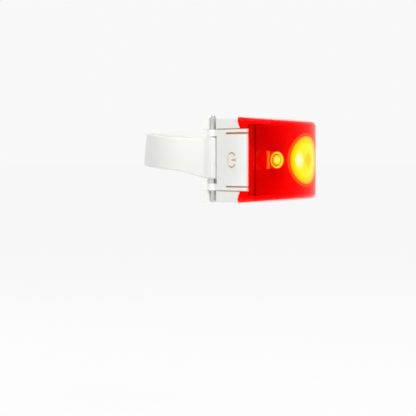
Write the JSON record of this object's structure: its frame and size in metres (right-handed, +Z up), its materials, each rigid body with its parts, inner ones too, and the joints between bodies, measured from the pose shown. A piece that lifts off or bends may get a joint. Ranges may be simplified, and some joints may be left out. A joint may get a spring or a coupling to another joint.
{
  "type": "bicycle rear light",
  "caption": "Strap-on rear light: curved red lens, pale two-part housing with hinged side plate and button, elastic strap on steel pins.",
  "frame": {"origin": "on the axis of the round tube that the strap grips, level with the middle of the head", "axes": "-Y is the way the light shines, +Z is up, -X is the power button's side; the gripped axis leans 5.7 degrees from +Z towards -Y"},
  "size_m": [0.0419, 0.068, 0.032],
  "materials": {
    "shell": "fine satin moulded plastic, warm white",
    "lens": "clear red, polished",
    "strap": "soft matt silicone, warm white",
    "seal": "soft black rubber",
    "pad": "matt grey rubber",
    "flap": "soft matt rubber, warm white",
    "steel": "bright turned steel",
    "mark": "tan inlay",
    "reflector": "white reflecting plastic",
    "optic": "clear polished optic",
    "board": "green circuit board",
    "led_base": "ceramic white",
    "led": "yellow light source",
    "tray": "grey plastic",
    "black_part": "black moulding",
    "plug": "cream plastic",
    "cell": "silver foil pouch",
    "foam": "black foam",
    "lead": "insulated wire"
  },
  "bodies": {
    "light": {"rear_housing": "shell", "lens": "lens", "lens_gasket": "seal", "far_plate": "shell", "saddle_pad": "pad", "strap": "strap", "anchor_pin": "steel", "button_seal": "seal", "inner_reflector": "reflector", "main_optic": "optic", "side_optics": "optic", "led_board": "board", "main_led_base": "led_base", "main_led_dome": "led", "side_leds": "led", "board_screws": "steel", "inner_chassis": "tray", "control_board": "board", "usb_port_shell": "steel", "usb_port_tongue": "black_part", "switch_body": "black_part", "charge_chip": "black_part", "driver_coil": "black_part", "board_capacitors": "led_base", "board_header": "black_part", "battery_plug": "plug", "battery": "cell", "battery_foam": "foam", "battery_leads": "lead"},
    "hook_bar": {"hook_pin": "steel"},
    "buckle": {"button_plate": "shell"},
    "button": {"power_button": "shell", "power_mark": "mark"},
    "plunger": {"switch_plunger": "plug"},
    "flap": {"port_flap": "flap"}
  },
  "joints": [
    {"name": "hook_release", "type": "slide", "parent": "light", "child": "hook_bar", "axis": [-1, 0, 0], "range_m": [0, 0.0045], "stiffness_N_per_m": 300, "springref_m": -0.002, "deforming": ["strap"]},
    {"name": "plate_hinge", "type": "hinge", "parent": "hook_bar", "child": "buckle", "pos_m": [-0.0126, -0.0163, 0], "axis": [0, 0, -1], "range_deg": [0, 100]},
    {"name": "button_press", "type": "hinge", "parent": "buckle", "child": "button", "pos_m": [-0.01547, -0.0244, 0], "axis": [0, 0, 1], "range_deg": [0, 2.8], "stiffness_Nm_per_rad": 0.25, "springref_deg": -1.15, "deforming": ["button_seal"]},
    {"name": "switch_travel", "type": "slide", "parent": "light", "child": "plunger", "axis": [1, 0, 0], "range_m": [0, 0.0003]},
    {"name": "flap_hinge", "type": "hinge", "parent": "light", "child": "flap", "pos_m": [0.01725, -0.0244, 0], "axis": [0, 0, 1], "range_deg": [0, 100], "stiffness_Nm_per_rad": 0.002, "springref_deg": -5.73}
  ],
  "couplings": [
    {"joint": "switch_travel", "follows": "button_press", "m_per_rad": 0.005116}
  ]
}
